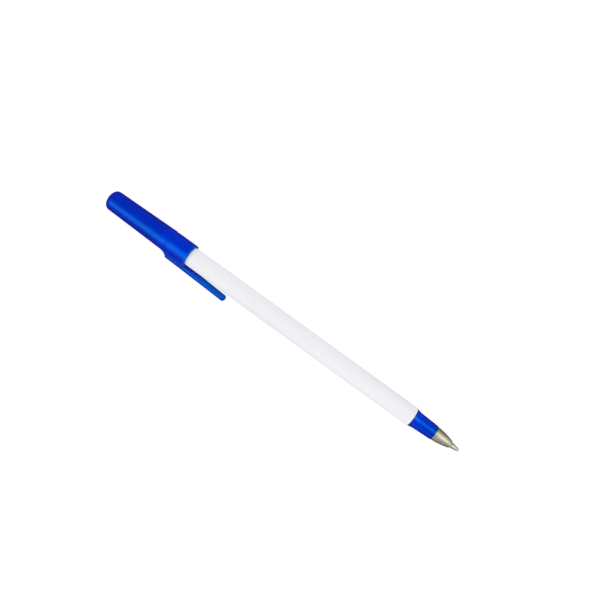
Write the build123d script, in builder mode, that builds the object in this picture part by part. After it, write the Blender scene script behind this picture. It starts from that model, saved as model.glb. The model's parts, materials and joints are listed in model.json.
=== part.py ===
from build123d import *
import os
from math import acos, atan2, cos, degrees, hypot, sin

# Stick ballpoint pen, lying on a table on its cap and its clip, with the cap posted on the tail.
# Millimetres. X runs along the pen towards the writing tip, Z is up, and the origin is on the
# pen's axis at the middle of the straight grip.

# Fits
slip_fit = 0.02  # radial room of a plug, tube or tail in its socket
cap_fit = 0.05  # radial room between the cap's grip ribs and the barrel
stop_fit = 0.05  # room between the barrel's tail end and the stop in the cap
ball_fit = 0.01  # radial room of the writing ball in its seat
clip_seam = 0.03  # width of the flexing line at the clip's root
overrun = 1.0  # how far a cut reaches past the material

# Barrel: straight grip in front, slightly drawn in towards the tail
barrel_diameter = 8.1
barrel_bore_diameter = 5.2
grip_length = 84.0
tail_length = 38.0
tail_draft = 0.1
barrel_edge = 0.25

# End plug in the barrel's tail
end_plug_depth = 6.0
end_plug_head = 0.9
end_plug_lip = 0.7
end_plug_edge = 0.3
breather_diameter = 1.2

# Nose plug in the barrel's front
nose_length = 10.45
nose_flange_setback = 0.2
nose_flange_rim = 0.25
nose_flare_length = 3.0
nose_shank_diameter = 6.76
nose_front_diameter = 6.08
nose_front_edge = 0.2
nose_spigot_length = 9.0
nipple_length = 4.0
nipple_bore_diameter = 1.2
flare_turn_share = 0.45  # where along the flare its curve turns into the shank

# Metal cone on the nose plug
cone_length = 7.65
cone_setback = 0.17
cone_front_diameter = 3.05
cone_bulge = 0.28
cone_base_edge = 0.12
cone_seat_diameter = 4.0
cone_seat_length = 2.0
cone_seat_room = 0.2

# Point: nib, collar and tail turned in one, with the writing ball in its end
nib_length = 3.55
nib_base_diameter = 2.5
nib_lip_diameter = 1.24
point_collar_diameter = 3.2
point_collar_length = 0.8
point_tail_diameter = 1.8
point_tail_length = 6.0
point_channel_diameter = 0.6
ball_diameter = 1.0
ball_proud = 0.35

# Ink tube and ink
tube_outer_diameter = 3.2
tube_bore_diameter = 2.0
tube_end_room = 7.0
ink_headroom = 12.0
ink_seat_room = 0.1

# Cap: slender neck that ends in a ring, straight collar in front of it, closed end with an air hole
cap_length = 41.0
posted_depth = 13.2
collar_length = 10.6
collar_wall = 0.68
ring_step = 0.08
relief_depth = 0.1
relief_length = 1.6
mouth_edge = 0.15
cap_end_diameter = 8.6
cap_end_round = 2.1
cap_end_wall = 1.4
cavity_mouth_diameter = 7.3
cavity_end_diameter = 6.7
cavity_end_round = 0.6
air_hole_diameter = 3.0
grip_rib_count = 6
grip_rib_height = 0.15
grip_rib_width = 0.6
grip_rib_lead = 1.2
rib_root_share = 0.5  # share of the collar's wall that a rib is rooted in

# Clip: a ramp on the collar that runs out into a free arm past the mouth
clip_reach = 20.9
clip_width = 3.6
clip_tip_width = 3.2
clip_thickness = 1.98
clip_tip_thickness = 1.76
clip_gap = 0.9
clip_tip_gap = 1.86
clip_root_length = 12.4
clip_ramp_length = 3.4
clip_edge = 0.42
clip_tip_corner = 1.2
ramp_foot_share = 0.55  # length of the bend at the ramp's foot as a share of the ramp
ramp_brow_share = 0.2  # length of the bend at the ramp's top as a share of the ramp
root_sink_share = 0.9  # share of the collar's wall that the clip's root is sunk in
ramp_sink_share = 0.2  # share of the collar's wall where the ramp starts, below the surface
root_edge_share = 0.8  # largest rounding of the root as a share of its height at the ramp's start

# Places along the pen
barrel_front = grip_length / 2
grip_rear = -grip_length / 2
barrel_rear = grip_rear - tail_length
mouth = barrel_rear + posted_depth
collar_rear = mouth - collar_length
cap_end = mouth - cap_length
cap_stop = barrel_rear - stop_fit
clip_tip = mouth + clip_reach
nose_front = barrel_front + nose_length
cone_front = nose_front + cone_length
nib_front = cone_front + nib_length
ball_centre = nib_front + ball_proud - ball_diameter / 2
spigot_rear = barrel_front - nose_spigot_length
nipple_rear = spigot_rear - nipple_length
seat_front = nose_front + cone_seat_length
point_tail_rear = seat_front - point_tail_length
tube_rear = barrel_rear + end_plug_depth + tube_end_room

# Radii
barrel_radius = barrel_diameter / 2
tail_radius = barrel_radius - tail_draft
bore_radius = barrel_bore_diameter / 2
draft_rate = tail_draft / tail_length
mouth_barrel_radius = tail_radius + draft_rate * posted_depth
tip_barrel_radius = mouth_barrel_radius + draft_rate * clip_reach
rib_tip_radius = mouth_barrel_radius + cap_fit
cap_bore_radius = rib_tip_radius + grip_rib_height
collar_radius = cap_bore_radius + collar_wall
ring_radius = collar_radius + ring_step
relief_radius = collar_radius - relief_depth
tube_bore_radius = tube_bore_diameter / 2
nipple_bore_radius = nipple_bore_diameter / 2
shank_radius = nose_shank_diameter / 2
nose_front_radius = nose_front_diameter / 2
nose_taper = (shank_radius - nose_front_radius) / (nose_length - nose_flare_length)
cone_base_radius = nose_front_radius - cone_setback
cone_front_radius = cone_front_diameter / 2
cone_seat_radius = cone_seat_diameter / 2
nib_base_radius = nib_base_diameter / 2
point_tail_radius = point_tail_diameter / 2
channel_radius = point_channel_diameter / 2
ball_radius = ball_diameter / 2

# Heights of the clip above the pen's axis
clip_inner_height = mouth_barrel_radius + clip_gap
clip_outer_height = clip_inner_height + clip_thickness
tip_inner_height = tip_barrel_radius + clip_tip_gap
tip_outer_height = tip_inner_height + clip_tip_thickness
clip_rise = (tip_outer_height - clip_outer_height) / clip_reach
ramp_rear = mouth - clip_root_length
ramp_front = ramp_rear + clip_ramp_length
ramp_outer_height = clip_outer_height - clip_rise * (mouth - ramp_front)
ramp_rear_height = collar_radius - collar_wall * ramp_sink_share
root_floor = collar_radius - collar_wall * root_sink_share
root_edge = min(clip_edge, (ramp_rear_height - root_floor) * root_edge_share)

# The pen rolls until the clip's rounded outer corner reaches the table that the cap's ring lies on
corner_height = tip_outer_height - clip_edge
corner_side = clip_tip_width / 2 - clip_edge
corner_reach = hypot(corner_height, corner_side)
roll = atan2(corner_side, corner_height) + acos((ring_radius - clip_edge) / corner_reach)
clip_out = Vector(0, -sin(roll), -cos(roll))
clip_across = Vector(0, cos(roll), -sin(roll))
clip_side_plane = Plane(origin=(0, 0, 0), x_dir=(1, 0, 0), z_dir=clip_across)
clip_top_plane = Plane(origin=(0, 0, 0), x_dir=(1, 0, 0), z_dir=clip_out)
clip_axis = Axis((0, 0, 0), clip_out)

# Barrel
with BuildPart() as barrel:
    with BuildSketch(Plane.XZ):
        with BuildLine():
            Polyline(
                (barrel_rear, bore_radius),
                (barrel_rear, tail_radius),
                (grip_rear, barrel_radius),
                (barrel_front, barrel_radius),
                (barrel_front, bore_radius),
                close=True,
            )
        make_face()
    revolve(axis=Axis.X)
    barrel_ends = barrel.faces().sort_by(Axis.X)
    front_rim = barrel_ends[-1].edges().sort_by(SortBy.RADIUS)[-1]
    rear_rim = barrel_ends[0].edges().sort_by(SortBy.RADIUS)[-1]
    fillet([front_rim, rear_rim], radius=barrel_edge)

# End plug, with a breather hole that lets air in behind the ink
with BuildPart() as end_plug:
    with BuildSketch(Plane.XZ):
        with BuildLine():
            Polyline(
                (barrel_rear - end_plug_head, breather_diameter / 2),
                (barrel_rear - end_plug_head, bore_radius + end_plug_lip),
                (barrel_rear, bore_radius + end_plug_lip),
                (barrel_rear, bore_radius - slip_fit),
                (barrel_rear + end_plug_depth, bore_radius - slip_fit),
                (barrel_rear + end_plug_depth, breather_diameter / 2),
                close=True,
            )
        make_face()
    revolve(axis=Axis.X)
    head_rim = end_plug.faces().sort_by(Axis.X)[0].edges().sort_by(SortBy.RADIUS)[-1]
    fillet(head_rim, radius=end_plug_edge)

# Nose plug: flared nose in front, spigot in the barrel, nipple for the ink tube
flare_end = barrel_front + nose_flare_length
flare_start = barrel_front + nose_flange_rim
flare_turn = flare_start + (flare_end - flare_start) * flare_turn_share
flange_radius = barrel_radius - nose_flange_setback
with BuildPart() as nose_plug:
    with BuildSketch(Plane.XZ):
        with BuildLine():
            Polyline(
                (flare_start, flange_radius),
                (barrel_front, flange_radius),
                (barrel_front, bore_radius - slip_fit),
                (spigot_rear, bore_radius - slip_fit),
                (spigot_rear, tube_bore_radius - slip_fit),
                (nipple_rear, tube_bore_radius - slip_fit),
                (nipple_rear, nipple_bore_radius),
                (point_tail_rear, nipple_bore_radius),
                (point_tail_rear, point_tail_radius + slip_fit),
                (seat_front, point_tail_radius + slip_fit),
                (seat_front, cone_seat_radius - slip_fit),
                (nose_front, cone_seat_radius - slip_fit),
                (nose_front, nose_front_radius),
                (flare_end, shank_radius),
            )
            Bezier(
                (flare_end, shank_radius),
                (flare_turn, shank_radius + nose_taper * (flare_end - flare_turn)),
                (flare_start, flange_radius),
            )
        make_face()
    revolve(axis=Axis.X)
    nose_rims = nose_plug.edges().filter_by(GeomType.CIRCLE).filter_by_position(
        Axis.X, nose_front - slip_fit, nose_front + slip_fit
    )
    fillet(nose_rims.sort_by(SortBy.RADIUS)[-1], radius=nose_front_edge)

# Metal cone: rounded outside, seat bore behind, tapered bore round the point
cone_bore_end = nose_front + cone_seat_length + cone_seat_room
cone_mid = (nose_front + cone_front) / 2
cone_mid_radius = (cone_base_radius + cone_front_radius) / 2 + cone_bulge
with BuildPart() as point_cone:
    with BuildSketch(Plane.XZ):
        with BuildLine():
            ThreePointArc(
                (nose_front, cone_base_radius),
                (cone_mid, cone_mid_radius),
                (cone_front, cone_front_radius),
            )
            Polyline(
                (cone_front, cone_front_radius),
                (cone_front, nib_base_radius + slip_fit),
                (cone_bore_end, cone_seat_radius),
                (nose_front, cone_seat_radius),
                (nose_front, cone_base_radius),
            )
        make_face()
    revolve(axis=Axis.X)
    cone_base_rim = point_cone.faces().sort_by(Axis.X)[0].edges().sort_by(SortBy.RADIUS)[-1]
    fillet(cone_base_rim, radius=cone_base_edge)

# Point: nib in front of the cone, collar on the nose plug's seat, tail in its socket
with BuildPart() as point:
    with BuildSketch(Plane.XZ):
        with BuildLine():
            Polyline(
                (point_tail_rear, channel_radius),
                (point_tail_rear, point_tail_radius),
                (seat_front, point_tail_radius),
                (seat_front, point_collar_diameter / 2),
                (seat_front + point_collar_length, point_collar_diameter / 2),
                (seat_front + point_collar_length, nib_base_radius),
                (cone_front, nib_base_radius),
                (nib_front, nib_lip_diameter / 2),
                (nib_front, channel_radius),
                close=True,
            )
        make_face()
    revolve(axis=Axis.X)
    with Locations((ball_centre, 0, 0)):
        Sphere(ball_radius + ball_fit, mode=Mode.SUBTRACT)

# Writing ball
with BuildPart() as writing_ball:
    with Locations((ball_centre, 0, 0)):
        Sphere(ball_radius)

# Ink tube, pushed over the nose plug's nipple
with BuildPart() as ink_tube:
    with BuildSketch(Plane.YZ.offset(tube_rear)):
        Circle(tube_outer_diameter / 2)
        Circle(tube_bore_radius, mode=Mode.SUBTRACT)
    extrude(amount=spigot_rear - tube_rear)

# Ink: the column in the tube and the thin feed through nipple and point to the ball
ink_rear = tube_rear + ink_headroom
ink_front = ball_centre - ball_radius - ink_seat_room
with BuildPart() as ink:
    with BuildSketch(Plane.XZ):
        with BuildLine():
            Polyline(
                (ink_rear, 0),
                (ink_rear, tube_bore_radius - slip_fit),
                (nipple_rear - ink_seat_room, tube_bore_radius - slip_fit),
                (nipple_rear - ink_seat_room, nipple_bore_radius - slip_fit),
                (point_tail_rear - ink_seat_room, nipple_bore_radius - slip_fit),
                (point_tail_rear - ink_seat_room, channel_radius - slip_fit),
                (ink_front, channel_radius - slip_fit),
                (ink_front, 0),
                close=True,
            )
        make_face()
    revolve(axis=Axis.X)

# Root of the clip on the cap: ramp and crown, sunk into the collar's wall
ramp_foot = clip_ramp_length * ramp_foot_share
ramp_brow = clip_ramp_length * ramp_brow_share
with BuildPart() as clip_root:
    with BuildSketch(clip_side_plane):
        with BuildLine():
            Bezier(
                (ramp_rear, ramp_rear_height),
                (ramp_rear + ramp_foot, ramp_rear_height),
                (ramp_front - ramp_brow, ramp_outer_height - clip_rise * ramp_brow),
                (ramp_front, ramp_outer_height),
            )
            Polyline(
                (ramp_front, ramp_outer_height),
                (mouth, clip_outer_height),
                (mouth, root_floor),
                (ramp_rear, root_floor),
                (ramp_rear, ramp_rear_height),
            )
        make_face()
    extrude(amount=clip_width / 2, both=True)
    root_long_edges = clip_root.edges().filter_by(Axis.X, reverse=True).filter_by(clip_side_plane)
    fillet(root_long_edges.sort_by(clip_axis)[-2:], radius=root_edge)

# Cap
rib_depth = grip_rib_height + collar_wall * rib_root_share
with BuildPart() as cap:
    with BuildSketch(Plane.XZ):
        with BuildLine():
            Polyline(
                (cap_end, 0),
                (cap_end, cap_end_diameter / 2),
                (collar_rear, ring_radius),
                (collar_rear, relief_radius),
                (collar_rear + relief_length, collar_radius),
                (mouth, collar_radius),
                (mouth, cap_bore_radius),
                (cap_stop, cap_bore_radius),
                (cap_stop, cavity_mouth_diameter / 2),
                (cap_end + cap_end_wall, cavity_end_diameter / 2),
                (cap_end + cap_end_wall, 0),
                close=True,
            )
        make_face()
    revolve(axis=Axis.X)
    cap_circles = cap.edges().filter_by(GeomType.CIRCLE).sort_by(Axis.X)
    fillet(cap_circles[0], radius=cap_end_round)
    cavity_end = cap.faces().filter_by(GeomType.PLANE).sort_by(Axis.X)[1]
    fillet(cavity_end.edges(), radius=cavity_end_round)
    mouth_rim = cap.faces().sort_by(Axis.X)[-1].edges().sort_by(SortBy.RADIUS)[-1]
    fillet(mouth_rim, radius=mouth_edge)
    with BuildSketch(Plane.YZ.offset(cap_stop)):
        with PolarLocations(rib_tip_radius + rib_depth / 2, grip_rib_count):
            Rectangle(rib_depth, grip_rib_width)
    extrude(amount=posted_depth - grip_rib_lead)
    with BuildSketch(Plane.YZ.offset(cap_end - overrun)):
        Circle(air_hole_diameter / 2)
    extrude(amount=cap_end_wall + overrun * 2, mode=Mode.SUBTRACT)
    add(clip_root.part)

# Free arm of the clip
arm_root = mouth + clip_seam
with BuildPart() as cap_clip:
    with BuildSketch(clip_side_plane):
        with BuildLine():
            Polyline(
                (arm_root, clip_inner_height),
                (arm_root, clip_outer_height),
                (clip_tip, tip_outer_height),
                (clip_tip, tip_inner_height),
                close=True,
            )
        make_face()
    extrude(amount=clip_width / 2, both=True)
    with BuildSketch(clip_top_plane) as arm_top:
        with BuildLine():
            Polyline(
                (arm_root, -clip_width / 2),
                (arm_root, clip_width / 2),
                (clip_tip, clip_tip_width / 2),
                (clip_tip, -clip_tip_width / 2),
                close=True,
            )
        make_face()
        fillet(arm_top.vertices().group_by(Axis.X)[-1], radius=clip_tip_corner)
    extrude(amount=tip_outer_height + overrun, mode=Mode.INTERSECT)
    arm_inner = cap_clip.faces().filter_by(GeomType.PLANE).sort_by(SortBy.AREA)[-1]
    arm_outer = cap_clip.faces().filter_by(GeomType.PLANE).sort_by(SortBy.AREA)[-2]
    arm_rims = arm_inner.edges() + arm_outer.edges()
    fillet(arm_rims.filter_by_position(Axis.X, arm_root, clip_tip, inclusive=(False, True)), radius=clip_edge)

# Named pieces, each written to a file of its own
pieces = {
    "barrel": barrel,
    "end_plug": end_plug,
    "nose_plug": nose_plug,
    "point_cone": point_cone,
    "point": point,
    "writing_ball": writing_ball,
    "ink_tube": ink_tube,
    "ink": ink,
    "cap": cap,
    "cap_clip": cap_clip,
}
os.makedirs("parts", exist_ok=True)
for name, piece in pieces.items():
    piece.part.label = name
    export_step(piece.part, f"parts/{name}.step")

print("roll in degrees", degrees(roll))
print("mouth", mouth, "clip root height", clip_outer_height, "ball centre", ball_centre)
print("clip across", clip_across, "clip out", clip_out)
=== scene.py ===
"""Stick ballpoint pen with its cap posted on the tail: its looks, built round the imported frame."""
import json
import logging
import math
from abc import ABC, abstractmethod
from dataclasses import dataclass
from enum import Enum
from typing import TypeVar

import bmesh
import bpy
from mathutils import Color, Matrix, Vector
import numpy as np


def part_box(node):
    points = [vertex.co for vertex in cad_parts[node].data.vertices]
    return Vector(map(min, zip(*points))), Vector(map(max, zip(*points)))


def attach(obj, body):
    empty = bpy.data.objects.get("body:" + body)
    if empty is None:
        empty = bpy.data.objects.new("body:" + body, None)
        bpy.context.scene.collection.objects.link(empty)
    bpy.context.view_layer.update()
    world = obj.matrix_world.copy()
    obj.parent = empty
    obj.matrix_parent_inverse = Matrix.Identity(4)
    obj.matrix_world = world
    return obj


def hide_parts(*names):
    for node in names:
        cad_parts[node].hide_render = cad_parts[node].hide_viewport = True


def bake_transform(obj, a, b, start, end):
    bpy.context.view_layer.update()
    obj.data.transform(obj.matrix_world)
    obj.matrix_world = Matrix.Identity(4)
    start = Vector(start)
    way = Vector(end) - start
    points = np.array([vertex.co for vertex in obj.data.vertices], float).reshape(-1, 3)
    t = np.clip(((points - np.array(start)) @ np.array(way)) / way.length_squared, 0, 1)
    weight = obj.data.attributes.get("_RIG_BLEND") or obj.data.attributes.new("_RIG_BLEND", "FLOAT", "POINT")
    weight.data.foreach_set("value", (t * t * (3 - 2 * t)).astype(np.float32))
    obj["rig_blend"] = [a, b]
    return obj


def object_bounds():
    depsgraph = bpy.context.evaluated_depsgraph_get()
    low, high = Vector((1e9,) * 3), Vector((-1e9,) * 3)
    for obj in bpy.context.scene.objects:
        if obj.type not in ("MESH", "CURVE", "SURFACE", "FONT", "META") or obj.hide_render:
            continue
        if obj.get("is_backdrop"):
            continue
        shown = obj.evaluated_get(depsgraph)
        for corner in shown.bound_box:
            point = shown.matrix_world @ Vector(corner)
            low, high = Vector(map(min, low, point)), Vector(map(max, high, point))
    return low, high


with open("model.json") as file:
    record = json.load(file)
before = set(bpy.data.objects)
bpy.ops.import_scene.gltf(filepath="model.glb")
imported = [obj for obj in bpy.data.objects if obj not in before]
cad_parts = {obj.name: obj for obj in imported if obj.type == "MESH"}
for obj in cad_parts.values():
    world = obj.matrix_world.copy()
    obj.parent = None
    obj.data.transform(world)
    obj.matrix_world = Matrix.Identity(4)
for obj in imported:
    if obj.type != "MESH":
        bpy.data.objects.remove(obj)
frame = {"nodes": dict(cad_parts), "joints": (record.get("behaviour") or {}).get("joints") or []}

log = logging.getLogger("pen")

Item = TypeVar("Item")
Socket = bpy.types.NodeSocket
Sockets = bpy.types.bpy_prop_collection
Source = float | tuple[float, ...] | Socket
Pair = tuple[float, float]
Triple = tuple[float, float, float]
Colour = tuple[float, float, float, float]

MM = 0.001  # metres in a millimetre
FACETS = 120  # flats round every turned piece
HOLD = 0.12 * MM  # strip kept flat beside a rounded corner, so that the long sides shade true
LEAST_SIDE = 4 * HOLD  # a side with less than this between its roundings gets no such strips
NEAR = HOLD / 8  # a point this close to a place is at it
MERGE = 1e-7  # points nearer than this are one
SHARP = math.radians(40)  # edges that turn more than this shade as sharp
MIX_FIRST, MIX_SECOND, MIX_RESULT = 6, 7, 2  # numbers of a Mix node's colour sockets

# Names of the values that the cap's points carry
PAINTED_LIGHT = "thin"  # painted light: how much the clip's inner face and its root's blended sides are lightened, from 0 to 1
ROW = "row"  # the row of the clip's section that a point is in
NUMBER = "number"  # the point's number in that row


class Body(Enum):
    """The bodies that move apart."""

    PEN = "pen"
    CAP = "cap"
    CLIP = "clip"
    BALL = "ball"


class Slot(Enum):
    """The record's material slots; each new piece holds one."""

    WHITE_PLASTIC = "white_plastic"
    BLUE_PLASTIC = "blue_plastic"
    CONE_BRASS = "cone_brass"
    NIB_METAL = "nib_metal"
    BALL_METAL = "ball_metal"


class Row(Enum):
    """The two rows of points that make up the clip's section."""

    OUTER = 1
    INNER = 2


class Axis(Enum):
    """The directions of the shared frame."""

    ALONG = "X"
    ASIDE = "Y"
    UP = "Z"


class Detail(Enum):
    """How many finer layers a noise has."""

    COARSE = 2.0
    FINE = 3.0
    RICH = 4.0


def screen_colour(red: int, green: int, blue: int) -> Colour:
    """Turns a colour as seen on a screen, from 0 to 255, into the linear one that a shader takes."""
    return (*Color((red / 255, green / 255, blue / 255)).from_srgb_to_scene_linear(), 1.0)


def between(start: float, end: float, share: float) -> float:
    """Gives the value that lies a share of the way from one value to another."""
    return start + (end - start) * share


def add_object(name: str, data: bpy.types.ID) -> bpy.types.Object:
    """Puts an object into the scene.

    Args:
        name: Its name.
        data: Its mesh, light or camera.

    Returns:
        The new object, at the origin.
    """
    made = bpy.data.objects.new(name, data)
    bpy.context.scene.collection.objects.link(made)
    return made


def add_mesh(name: str, shape: bmesh.types.BMesh, finish: bpy.types.Material) -> bpy.types.Object:
    """Turns a mesh in work into an object.

    Args:
        name: The object's name.
        shape: The mesh, which is used up.
        finish: Its material.

    Returns:
        The new object, at the origin.
    """
    mesh = bpy.data.meshes.new(name)
    shape.to_mesh(mesh)
    shape.free()
    mesh.materials.append(finish)
    return add_object(name, mesh)


class Graph:
    """Short ways to add and join the nodes of one tree."""

    def __init__(self, tree: bpy.types.NodeTree) -> None:
        """Takes the tree that the nodes go into."""
        self.tree = tree

    def feed(self, socket: Socket, source: Source) -> None:
        """Links an output to a socket, or sets a plain value on it.

        Args:
            socket: The input socket.
            source: The output socket or the value.
        """
        if isinstance(source, Socket):
            self.tree.links.new(source, socket)
        else:
            socket.default_value = source

    def node(self, kind: str, inputs: dict[str | int, Source] | None = None,
             **settings: object) -> bpy.types.Node:
        """Adds a node.

        Args:
            kind: The node's type.
            inputs: What goes into it, by the socket's name or number.
            **settings: Properties to set on it first.

        Returns:
            The new node.
        """
        node = self.tree.nodes.new(kind)
        for key, value in settings.items():
            setattr(node, key, value)
        for key, source in (inputs or {}).items():
            self.feed(node.inputs[key], source)
        return node

    def math(self, operation: str, *values: Source) -> Socket:
        """Works out one operation on values, taken in order."""
        return self.node("ShaderNodeMath", dict(enumerate(values)), operation=operation).outputs[0]

    def inverse(self, value: Source) -> Socket:
        """Gives one less a value."""
        return self.math("SUBTRACT", 1.0, value)

    def away(self, value: Source, middle: float) -> Socket:
        """Gives how far a value lies from a middle one."""
        return self.math("ABSOLUTE", self.math("SUBTRACT", value, middle))

    def ramp(self, value: Source, start: float, end: float, low: float = 0.0, high: float = 1.0) -> Socket:
        """Eases from low to high as a value goes from start to end."""
        inputs = {"Value": value, "From Min": start, "From Max": end, "To Min": low, "To Max": high}
        return self.node("ShaderNodeMapRange", inputs, interpolation_type="SMOOTHSTEP").outputs["Result"]

    def mix(self, share: Source, first: Source, second: Source) -> Socket:
        """Mixes two colours, with a share of the second."""
        inputs = {"Factor": share, MIX_FIRST: first, MIX_SECOND: second}
        return self.node("ShaderNodeMix", inputs, data_type="RGBA").outputs[MIX_RESULT]

    def stretched(self, place: Source, scales: Triple) -> Socket:
        """Multiplies each part of a place by its own scale."""
        node = self.node("ShaderNodeVectorMath", {0: place, 1: scales}, operation="MULTIPLY")
        return node.outputs["Vector"]

    def millimetres(self) -> Socket:
        """Gives the place on the object in millimetres."""
        place = self.node("ShaderNodeTexCoord").outputs["Object"]
        return self.stretched(place, (1 / MM, 1 / MM, 1 / MM))

    def coordinate(self, place: Source, axis: Axis) -> Socket:
        """Gives one part of a place."""
        return self.node("ShaderNodeSeparateXYZ", {0: place}).outputs[axis.value]

    def from_axis(self, place: Source) -> Socket:
        """Gives how far a place lies from the pen's axis."""
        crosswise = self.stretched(place, (0.0, 1.0, 1.0))
        return self.node("ShaderNodeVectorMath", {0: crosswise}, operation="LENGTH").outputs["Value"]

    def noise(self, place: Source, scale: Source = 1.0, detail: Detail = Detail.FINE) -> Socket:
        """Gives a noise from 0 to 1."""
        inputs = {"Vector": place, "Scale": scale, "Detail": detail.value}
        return self.node("ShaderNodeTexNoise", inputs).outputs["Fac"]

    def line_noise(self, along: Source, scale: Source, detail: Detail) -> Socket:
        """Gives a noise from 0 to 1 that changes along one line alone."""
        inputs = {"W": along, "Scale": scale, "Detail": detail.value}
        return self.node("ShaderNodeTexNoise", inputs, noise_dimensions="1D").outputs["Fac"]

    def bump(self, height: Source, depth: float, under: Socket | None = None) -> Socket:
        """Adds a relief, with its depth in metres, on top of another if there is one."""
        inputs = {"Height": height, "Distance": depth} | ({"Normal": under} if under else {})
        return self.node("ShaderNodeBump", inputs).outputs["Normal"]


@dataclass
class Effects:
    """The node groups that several finishes share. Their scales are per millimetre."""

    mottle_share: float = 0.07
    hair_stretch: Triple = (0.05, 1.9, 1.9)
    hair_middle: float = 0.5
    hair_width: float = 0.012
    patch_scale: float = 0.22
    patch_limits: Pair = (0.5, 0.72)
    edge_limits: Pair = (0.56, 0.70)
    gap_scale: float = 0.9
    gap_limits: Pair = (0.35, 0.65)
    gap_share: float = 0.25
    tone_share: float = 0.12

    def __post_init__(self) -> None:
        """Builds every group once."""
        self.grain = self.moulded_grain()
        self.scuffs = self.handling_scuffs()
        self.edges = self.rubbed_edges()
        self.lathe = self.lathe_rings()

    @staticmethod
    def group(name: str, value: str, *results: str) -> tuple[Graph, Sockets, Sockets]:
        """Starts a group that reads a place and one value.

        Args:
            name: The group's name.
            value: Name of the value.
            *results: Names of what it puts out.

        Returns:
            The group's nodes, the sockets that hold its inputs, and those that take its results.
        """
        tree = bpy.data.node_groups.new(name, "ShaderNodeTree")
        tree.interface.new_socket("Place", in_out="INPUT", socket_type="NodeSocketVector")
        tree.interface.new_socket(value, in_out="INPUT", socket_type="NodeSocketFloat")
        for result in results:
            tree.interface.new_socket(result, in_out="OUTPUT", socket_type="NodeSocketFloat")
        graph = Graph(tree)
        return graph, graph.node("NodeGroupInput").outputs, graph.node("NodeGroupOutput").inputs

    def moulded_grain(self) -> bpy.types.NodeTree:
        """Builds the fine grain of a skin, and the slow mottle of handling.

        Returns:
            The group.
        """
        graph, given, made = self.group("moulded grain", "Scale", "Height", "Mottle")
        slow = graph.math("MULTIPLY", given["Scale"], self.mottle_share)
        graph.feed(made["Height"], graph.noise(given["Place"], given["Scale"]))
        graph.feed(made["Mottle"], graph.noise(given["Place"], slow))
        return graph.tree

    def handling_scuffs(self) -> bpy.types.NodeTree:
        """Builds hair scratches along the pen that lie in patches.

        Returns:
            The group.
        """
        graph, given, made = self.group("handling scuffs", "Amount", "Mask")
        wander = graph.noise(graph.stretched(given["Place"], self.hair_stretch), detail=Detail.COARSE)
        hairs = graph.ramp(graph.away(wander, self.hair_middle), 0.0, self.hair_width, 1.0, 0.0)
        patches = graph.ramp(graph.noise(given["Place"], self.patch_scale), *self.patch_limits)
        drawn = graph.math("MULTIPLY", hairs, patches)
        graph.feed(made["Mask"], graph.math("MULTIPLY", drawn, given["Amount"]))
        return graph.tree

    def rubbed_edges(self) -> bpy.types.NodeTree:
        """Builds the wear of outer edges, broken up along their length.

        Returns:
            The group.
        """
        graph, given, made = self.group("rubbed edges", "Amount", "Mask")
        pointed = graph.node("ShaderNodeNewGeometry").outputs["Pointiness"]
        gaps = graph.noise(given["Place"], self.gap_scale, Detail.RICH)
        broken = graph.ramp(gaps, *self.gap_limits, self.gap_share)
        rubbed = graph.math("MULTIPLY", graph.ramp(pointed, *self.edge_limits), broken)
        graph.feed(made["Mask"], graph.math("MULTIPLY", rubbed, given["Amount"]))
        return graph.tree

    def lathe_rings(self) -> bpy.types.NodeTree:
        """Builds the rings that a turning tool leaves round the axis.

        Returns:
            The group.
        """
        graph, given, made = self.group("lathe rings", "Scale", "Height", "Tone")
        along = graph.coordinate(given["Place"], Axis.ALONG)
        broad = graph.math("MULTIPLY", given["Scale"], self.tone_share)
        graph.feed(made["Height"], graph.line_noise(along, given["Scale"], Detail.FINE))
        graph.feed(made["Tone"], graph.line_noise(along, broad, Detail.COARSE))
        return graph.tree


class Surface(Graph):
    """The nodes of one material, with its shader, the shared effects and the place on the object."""

    def __init__(self, tree: bpy.types.NodeTree, effects: Effects) -> None:
        """Finds the shader and reads the place.

        Args:
            tree: The material's nodes.
            effects: The shared node groups.
        """
        super().__init__(tree)
        self.effects = effects
        self.shader = next(node for node in tree.nodes if node.type == "BSDF_PRINCIPLED").inputs
        self.place = self.millimetres()

    def effect(self, group: bpy.types.NodeTree, **values: Source) -> Sockets:
        """Places a shared effect with its own values, and gives what it puts out."""
        return self.node("ShaderNodeGroup", {"Place": self.place, **values}, node_tree=group).outputs

    def grain(self, scale: float) -> Sockets:
        """Places the moulded grain at a scale."""
        return self.effect(self.effects.grain, Scale=scale)

    def mottled(self, grain: Sockets, amount: float, roughness: Source) -> Socket:
        """Varies a roughness with a grain's mottle."""
        return self.math("MULTIPLY_ADD", grain["Mottle"], amount, roughness)

    def join(self, sources: dict[str, Source]) -> None:
        """Joins sources to the shader's inputs by name."""
        for name, source in sources.items():
            self.feed(self.shader[name], source)


@dataclass(frozen=True)
class Finish(ABC):
    """How one material looks. Scales are per millimetre; limits are where a change starts and ends."""

    name: str

    def material(self, effects: Effects) -> bpy.types.Material:
        """Makes the material.

        Args:
            effects: The shared node groups.

        Returns:
            The new material.
        """
        made = bpy.data.materials.new(self.name)
        made.use_nodes = True
        self.paint(Surface(made.node_tree, effects))
        return made

    @abstractmethod
    def paint(self, surface: Surface) -> None:
        """Joins the nodes to the shader.

        Args:
            surface: The material's nodes.
        """


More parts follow.
